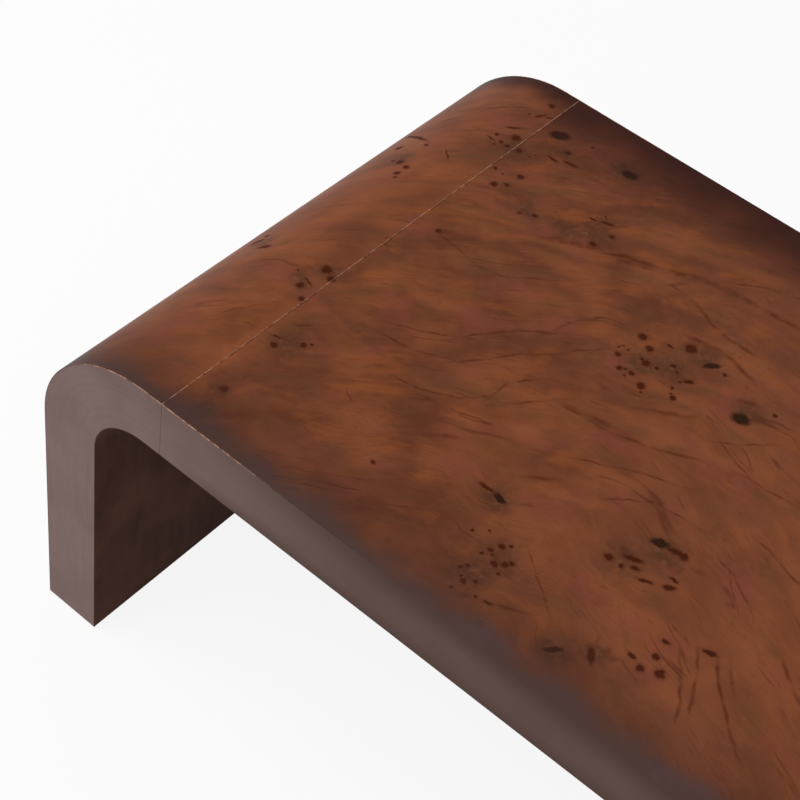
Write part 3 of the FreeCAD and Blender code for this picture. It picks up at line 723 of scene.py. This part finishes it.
def burl_veneer():
    """Lacquered burl of the top and of the outer faces of the ends."""
    graph = surface("burl_veneer", specular=0.03)
    u, y = unrolled(graph)
    off_middle = graph.math("ABSOLUTE", u)
    leaf = on_leaf(graph, u, y)
    cloudy = graph.shift(leaf, scale=45, reach=0.011, detail=3)
    smudge = graph.nearest(cloudy, round_marks(SMUDGES) + leg_marks(LEG_SMUDGES))
    flow = grain_flow(graph, leaf, smudge)
    colour = burl_ground(graph, flow, cloudy, off_middle)
    colour = burl_figure(graph, leaf, flow, colour)
    colour, dark = burl_marks(graph, leaf, smudge, colour)
    colour = toner(graph, leaf, off_middle, y, colour)
    colour = worn_and_highlit_edges(graph, leaf, off_middle, y, colour)
    pores = graph.noise(graph.stretched(graph.join(u, y), along=90, across=900), roughness=0.6)
    graph.bump(pores, strength=0.12, distance=0.0002)
    rough = graph.roughness(pores, where_low=0.46, where_high=0.40)
    return graph.finish(colour, graph.plus(rough, graph.times(dark, MARK_ROUGHNESS)))


def edge_band():
    """Toned veneer on the front and back edges."""
    graph = surface("edge_band", specular=0.05)
    x, _, z = graph.split(graph.place())
    off_middle = graph.math("ABSOLUTE", x)
    # The grain runs along the top, round the bend and down the leg.
    along, _ = unrolled(graph)
    outward = graph.math("MAXIMUM", graph.minus(off_middle, BEND_X), 0.0)
    upward = graph.math("MAXIMUM", graph.minus(z, BEND_Z), 0.0)
    place = graph.join(along, graph.vector("LENGTH", graph.join(outward, upward)))
    flow = graph.shift(place, scale=9, reach=0.01)
    grain = graph.noise(graph.stretched(flow, along=9, across=220), detail=3, roughness=0.6)
    cloud = graph.noise(place, scale=16, detail=3)
    # Lighter and greyer towards the ends: partly the band's own tone, partly a painted haze of
    # reflection.
    colour = graph.blend(graph.rise(off_middle, *BAND_MIDDLE_RISE), BAND_TONE_AND_HAZE_AT_ENDS, BAND_MIDDLE)
    colour = graph.tint(colour, graph.rise(cloud, *BAND_CLOUD_RISE), BAND_CLOUD)
    colour = graph.tint(colour, graph.rise(grain, *BAND_GRAIN_RISE), BAND_GRAIN)
    # The toner of the top runs over the upper edge, most of all in the middle,
    # and a little of it lies along the lower edge between the seams.
    below = graph.minus(TOP, z)
    over = graph.times(graph.fade(below, *OVER_FADE), graph.ramp(off_middle, *OVER_REACH))
    under = graph.times(graph.rise(below, *UNDER_RISE), graph.rise(off_middle, *UNDER_REACH))
    colour = graph.tint(colour, graph.math("MAXIMUM", over, under), BAND_TONER)
    graph.bump(grain, strength=0.05, distance=0.0002)
    return graph.finish(colour, graph.roughness(grain, where_low=0.50, where_high=0.44))


def inner_veneer():
    """Dark stained veneer of the inner faces and the underside, with painted shade towards the back."""
    graph = surface("inner_veneer", specular=0.008)
    x, y, z = graph.split(graph.place())
    place = graph.join(graph.plus(x, z), y)
    flow = graph.shift(place, scale=6, reach=0.03, detail=2)
    grain = graph.noise(graph.stretched(flow, along=8, across=40), detail=4, roughness=0.6)
    cloud = graph.noise(place, scale=14, detail=3)
    fibres = graph.noise(graph.stretched(flow, along=60, across=900))
    colour = graph.blend(graph.rise(grain, *INNER_GRAIN_RISE), INNER_DARK, INNER_LIGHT)
    colour = graph.tint(colour, graph.rise(cloud, *INNER_CLOUD_RISE), INNER_CLOUD)
    colour = graph.tint(colour, graph.rise(fibres, *INNER_FIBRE_RISE), INNER_FIBRE)
    # Painted shade: darker from the front edge towards the back, under the top
    colour = graph.tint(colour, graph.rise(y, *INNER_SHADE_RISE), INNER_SHADE)
    graph.bump(fibres, strength=0.12, distance=0.0002)
    return graph.finish(colour, graph.roughness(grain, where_low=0.5, where_high=0.42))


def board(name, dark, light):
    """Raw board: fine chips pressed flat."""
    graph = surface(name)
    place = graph.place()
    chips = graph.noise(place, scale=420, detail=3, roughness=0.7)
    cloud = graph.noise(place, scale=16)
    colour = graph.blend(graph.rise(chips, *PLAIN_RISE), dark, light)
    colour = graph.tint(colour, graph.rise(cloud, *BOARD_CLOUD_RISE), dark)
    graph.bump(chips, strength=0.2, distance=0.0003)
    return graph.finish(colour, graph.roughness(chips, where_low=0.85, where_high=0.7))


def raw_wood(name, dark, light):
    """Planed softwood or turned hardwood, with growth rings."""
    graph = surface(name)
    place = graph.shift(graph.place(), scale=5, reach=0.02)
    rings = graph.noise(graph.stretched(place, along=12, across=12, upward=160), detail=3, roughness=0.55)
    fibres = graph.noise(graph.stretched(place, along=60, across=60, upward=900))
    colour = graph.blend(graph.rise(rings, *PLAIN_RISE), dark, light)
    colour = graph.tint(colour, graph.rise(fibres, *RAW_FIBRE_RISE), dark)
    graph.bump(fibres, strength=0.15, distance=0.0003)
    return graph.finish(colour, graph.roughness(rings, where_low=0.7, where_high=0.58))


def metal(name, dark, light):
    """Turned metal with a cloudy surface."""
    graph = surface(name, metallic=1.0)
    place = graph.place()
    turned = graph.noise(graph.stretched(place, along=2600, across=300, upward=300))
    cloud = graph.noise(place, scale=180, detail=3)
    colour = graph.blend(graph.rise(cloud, *PLAIN_RISE), dark, light)
    graph.bump(turned, strength=0.1, distance=0.0001)
    return graph.finish(colour, graph.roughness(turned, where_low=0.45, where_high=0.28))


def moulded_plastic(name, dark, light):
    """Grained plastic with pale scuffs."""
    graph = surface(name, specular=0.2)
    place = graph.place()
    grain = graph.noise(place, scale=1400)
    scuffs = graph.noise(graph.stretched(place, along=90, across=700, upward=90), detail=3)
    colour = graph.blend(graph.rise(scuffs, *SCUFF_RISE), dark, light)
    graph.bump(grain, strength=0.2, distance=0.0002)
    return graph.finish(colour, graph.roughness(grain, where_low=0.6, where_high=0.48))


def dress(materials):
    """Give each node the material of its slot."""
    for part in frame["record"]["subparts"]:
        mesh = frame["nodes"][part["node"]].data
        mesh.materials.clear()
        mesh.materials.append(materials[part["material_slot"]])


def seen(graph):
    """One for rays from the camera, off gloss or through glass; nought for the rest."""
    path = graph.add("LightPath").outputs
    bounced = graph.plus(path["Is Glossy Ray"], path["Is Transmission Ray"])
    return graph.math("ADD", path["Is Camera Ray"], bounced, clamp=True)


def add_stage():
    """A white floor that keeps a soft shadow, under an even white sky."""
    bpy.ops.mesh.primitive_plane_add(size=FLOOR_SIZE, location=(0, 0, -FLOOR_DROP))
    floor = bpy.context.object
    floor.name = "floor"
    graph = surface("floor")
    paper = graph.nodes["Principled BSDF"]
    paper.inputs["Base Color"].default_value = FLOOR_PAPER
    paper.inputs["Roughness"].default_value = FLOOR_ROUGHNESS
    white = graph.add("Emission")
    mixed = graph.add("MixShader")
    graph.feed(mixed.inputs[0], graph.times(seen(graph), FLOOR_WHITE))
    graph.feed(mixed.inputs[1], paper.outputs[0])
    graph.feed(mixed.inputs[2], white.outputs[0])
    graph.feed(graph.nodes["Material Output"].inputs["Surface"], mixed.outputs[0])
    floor.data.materials.append(graph.owner)

    graph = Graph(bpy.data.worlds.new("studio"))
    sky = graph.nodes["Background"]
    sky.inputs["Color"].default_value = SKY_WHITE
    graph.feed(sky.inputs["Strength"], graph.ramp(seen(graph), 0.0, 1.0, start=SKY_LIGHT))
    bpy.context.scene.world = graph.owner


def add_light(name, place, target, size, power):
    """A square lamp at a place, turned to a target."""
    data = bpy.data.lights.new(name, "AREA")
    data.size = size
    data.energy = power
    light = bpy.data.objects.new(name, data)
    light.location = place
    light.rotation_euler = (Vector(target) - Vector(place)).to_track_quat("-Z", "Y").to_euler()
    bpy.context.collection.objects.link(light)


def add_camera():
    """The camera that the photograph was taken with."""
    right, up, forward = camera_axes()
    data = bpy.data.cameras.new("camera")
    data.sensor_width = SENSOR_WIDTH
    data.lens = SENSOR_WIDTH * FOCAL_PIXELS / PHOTO_PIXELS
    data.clip_end = SIGHT
    camera = bpy.data.objects.new("camera", data)
    turn = Matrix((right, up, -forward)).transposed()
    camera.matrix_world = Matrix.Translation(CAMERA_PLACE) @ turn.to_4x4()
    bpy.context.collection.objects.link(camera)
    bpy.context.scene.camera = camera


dress({
    "burl_veneer": burl_veneer(),
    "plain_veneer": inner_veneer(),
    "edge_veneer": edge_band(),
    "flat_board": board("flat_board", dark=(150, 120, 86), light=(182, 150, 110)),
    "bending_board": board("bending_board", dark=(158, 128, 92), light=(190, 160, 120)),
    "frame_wood": raw_wood("frame_wood", dark=(172, 134, 88), light=(208, 176, 130)),
    "dowel_wood": raw_wood("dowel_wood", dark=(184, 148, 104), light=(214, 184, 140)),
    "zinc_steel": metal("zinc_steel", dark=(168, 170, 174), light=(196, 198, 200)),
    "insert_brass": metal("insert_brass", dark=(176, 142, 82), light=(206, 172, 108)),
    "glide_plastic": moulded_plastic("glide_plastic", dark=(30, 28, 28), light=(58, 55, 54)),
    "cap_plastic": moulded_plastic("cap_plastic", dark=(44, 30, 26), light=(70, 52, 46)),
})
add_stage()
add_light("key", place=(-1.5, -1.3, 2.4), target=(0, 0, 0.3), size=2.0, power=40)
add_camera()
bpy.context.scene.view_settings.view_transform = "Standard"
